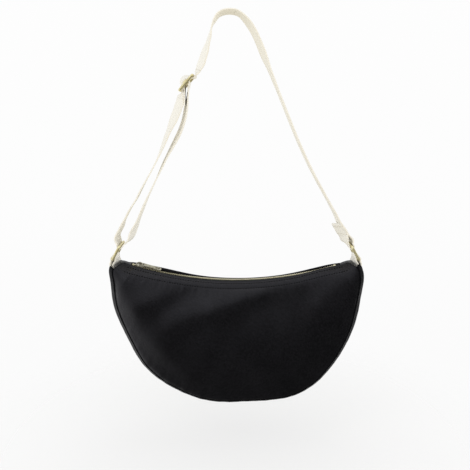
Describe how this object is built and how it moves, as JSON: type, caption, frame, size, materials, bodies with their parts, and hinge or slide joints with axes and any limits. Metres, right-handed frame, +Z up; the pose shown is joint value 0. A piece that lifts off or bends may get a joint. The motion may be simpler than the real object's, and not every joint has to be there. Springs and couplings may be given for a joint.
{
  "type": "half moon shoulder bag",
  "caption": "Half moon shoulder bag: black canvas panels on a rounded gusset, a curved metal zip along the mouth, and a cream webbing strap on wire rings with a sliding adjuster.",
  "frame": {"origin": "the point of the strap's inner face that rests on a hook or a shoulder", "axes": "+Z up, +X to the right as seen from the front, the front panel towards -Y"},
  "size_m": [0.3564, 0.0788, 0.5533],
  "materials": {
    "canvas": "matte woven",
    "lining": "matte woven",
    "zip_tape": "matte woven",
    "webbing": "matte woven",
    "brass": "polished"
  },
  "bodies": {
    "bag": {"front_panel": "canvas", "back_panel": "canvas", "gusset": "canvas", "zip_end_tab_left": "canvas", "zip_end_tab_right": "canvas", "front_lining": "lining", "back_lining": "lining", "gusset_lining": "lining", "zip_tape_front": "zip_tape", "zip_tape_back": "zip_tape", "left_tab": "webbing", "right_tab": "webbing", "strap_right_end": "webbing", "strap_run": "webbing", "strap_adjuster_run": "webbing", "strap_left_loop": "webbing", "strap_return": "webbing", "zip_teeth_front": "brass", "zip_teeth_back": "brass", "zip_top_stops": "brass", "zip_bottom_stop": "brass"},
    "slider": {"zip_slider": "brass"},
    "pull": {"zip_pull": "brass"},
    "left_ring": {"left_ring": "brass"},
    "right_ring": {"right_ring": "brass"},
    "adjuster": {"adjuster_frame": "brass", "adjuster_bar": "brass"}
  },
  "joints": [
    {"name": "zip_travel", "type": "hinge", "parent": "bag", "child": "slider", "pos_m": [0, 0, 0.13484], "axis": [0, -1, 0], "range_deg": [0, 31.47], "deforming": ["zip_teeth_front", "zip_teeth_back", "zip_tape_front", "zip_tape_back"]},
    {"name": "pull_swing", "type": "hinge", "parent": "slider", "child": "pull", "pos_m": [-0.13618, 0, -0.338], "axis": [-0.0575, -0.9781, -0.1998], "range_deg": [0, 105]},
    {"name": "left_ring_swing", "type": "hinge", "parent": "bag", "child": "left_ring", "pos_m": [-0.1715, 0, -0.3275], "axis": [0, 1, 0], "range_deg": [-45, 35], "deforming": ["strap_left_loop"]},
    {"name": "right_ring_swing", "type": "hinge", "parent": "bag", "child": "right_ring", "pos_m": [0.1715, 0, -0.3275], "axis": [0, -1, 0], "range_deg": [-45, 35], "deforming": ["strap_right_end"]},
    {"name": "adjuster_slide", "type": "slide", "parent": "bag", "child": "adjuster", "axis": [0.4361, 0, 0.8999], "range_m": [-0.11, 0.04], "deforming": ["strap_adjuster_run", "strap_return"]}
  ]
}
